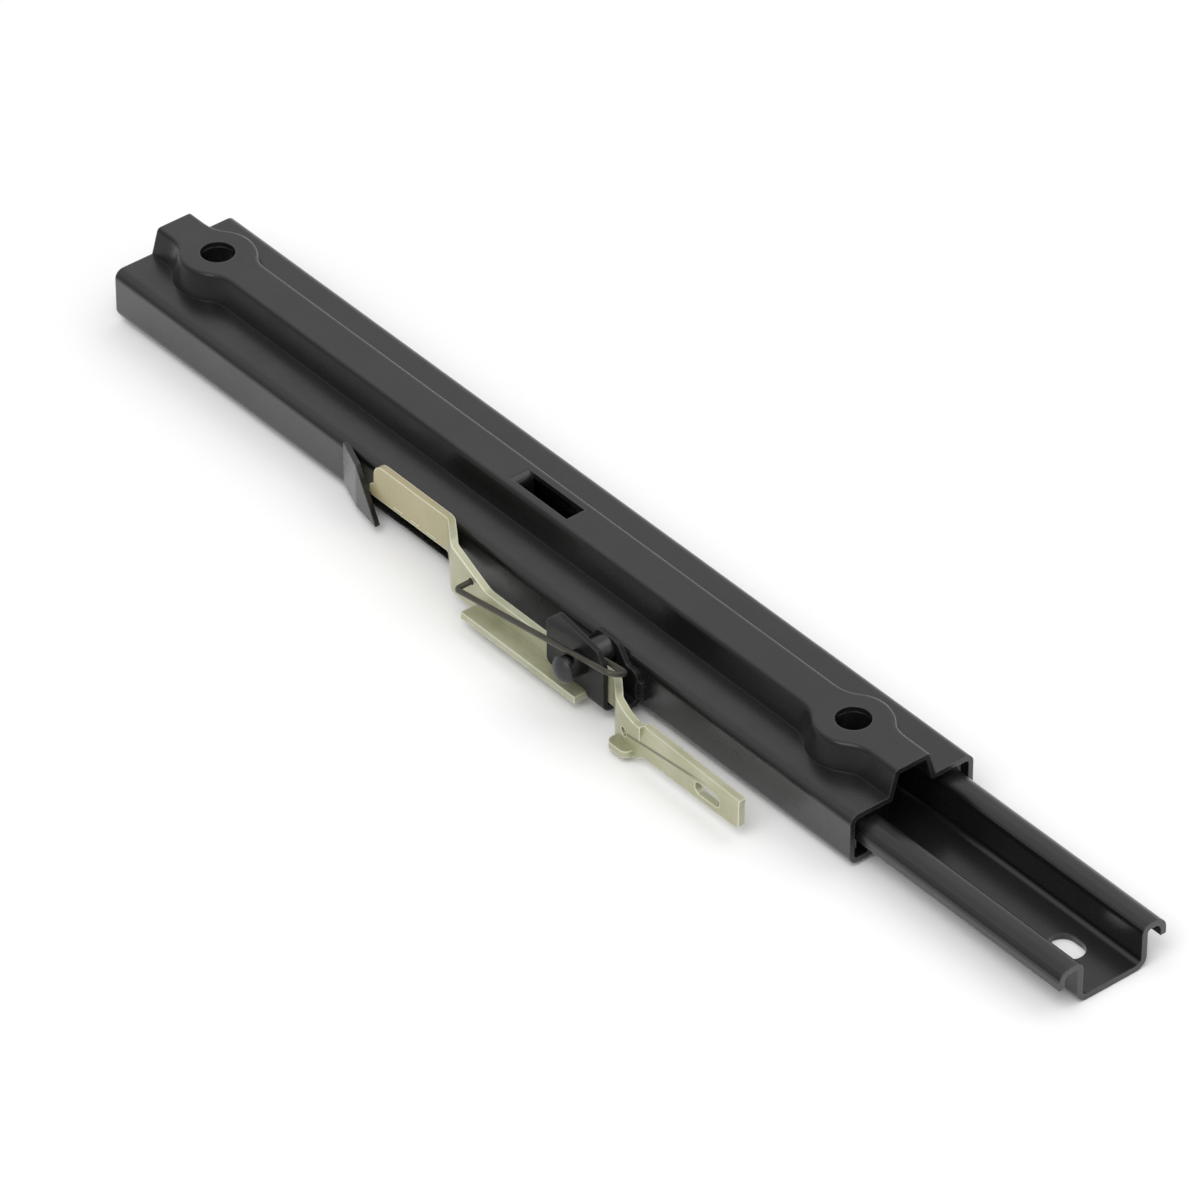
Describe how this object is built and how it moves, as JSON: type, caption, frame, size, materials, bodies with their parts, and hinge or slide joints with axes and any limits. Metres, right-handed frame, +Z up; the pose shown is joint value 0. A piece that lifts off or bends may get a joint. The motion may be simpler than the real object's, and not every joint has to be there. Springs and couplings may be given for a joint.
{
  "type": "seat slide rail",
  "caption": "Seat slide rail: ribbed upper rail rolling on a channel lower rail in ball cages, locked by a sprung toothed release lever on its side.",
  "frame": {"origin": "midway between the two floor slots, on the underside of the lower rail", "axes": "+X along the rails towards the front end, where the lower rail sticks out; +Z up; the latch is on the -Y side"},
  "size_m": [0.434, 0.0679, 0.0283],
  "materials": {
    "black_paint": "satin",
    "black_paint_lower": "satin",
    "bracket_paint": "satin",
    "yellow_zinc": "satin",
    "spring_steel": "satin",
    "pin_steel": "satin",
    "bush_steel": "satin",
    "ball_steel": "polished",
    "cage_plastic": "matte"
  },
  "bodies": {
    "lower_rail": {"lower_rail": "black_paint_lower"},
    "upper_rail": {"upper_rail": "black_paint", "pivot_bracket": "bracket_paint", "pivot_pin": "pin_steel", "pivot_bush": "bush_steel", "spring_sleeve": "bush_steel"},
    "release_lever": {"release_lever": "yellow_zinc", "return_spring": "spring_steel"},
    "cage_front_right": {"ball_cage_front_right": "cage_plastic", "balls_front_right": "ball_steel"},
    "cage_front_left": {"ball_cage_front_left": "cage_plastic", "balls_front_left": "ball_steel"},
    "cage_rear_right": {"ball_cage_rear_right": "cage_plastic", "balls_rear_right": "ball_steel"},
    "cage_rear_left": {"ball_cage_rear_left": "cage_plastic", "balls_rear_left": "ball_steel"}
  },
  "joints": [
    {"name": "seat_slide", "type": "slide", "parent": "lower_rail", "child": "upper_rail", "axis": [1, 0, 0], "range_m": [0, 0.16]},
    {"name": "lever_release", "type": "hinge", "parent": "upper_rail", "child": "release_lever", "pos_m": [-0.019, -0.0321, 0.0172], "axis": [0, -1, 0], "range_deg": [-1.9, 1.3], "stiffness_Nm_per_rad": 2, "springref_deg": -14.32},
    {"name": "cage_front_right_roll", "type": "slide", "parent": "lower_rail", "child": "cage_front_right", "axis": [1, 0, 0], "range_m": [0, 0.08]},
    {"name": "cage_front_left_roll", "type": "slide", "parent": "lower_rail", "child": "cage_front_left", "axis": [1, 0, 0], "range_m": [0, 0.08]},
    {"name": "cage_rear_right_roll", "type": "slide", "parent": "lower_rail", "child": "cage_rear_right", "axis": [1, 0, 0], "range_m": [0, 0.08]},
    {"name": "cage_rear_left_roll", "type": "slide", "parent": "lower_rail", "child": "cage_rear_left", "axis": [1, 0, 0], "range_m": [0, 0.08]}
  ],
  "couplings": [
    {"joint": "cage_front_right_roll", "follows": "seat_slide", "ratio": 0.5},
    {"joint": "cage_front_left_roll", "follows": "seat_slide", "ratio": 0.5},
    {"joint": "cage_rear_right_roll", "follows": "seat_slide", "ratio": 0.5},
    {"joint": "cage_rear_left_roll", "follows": "seat_slide", "ratio": 0.5}
  ]
}
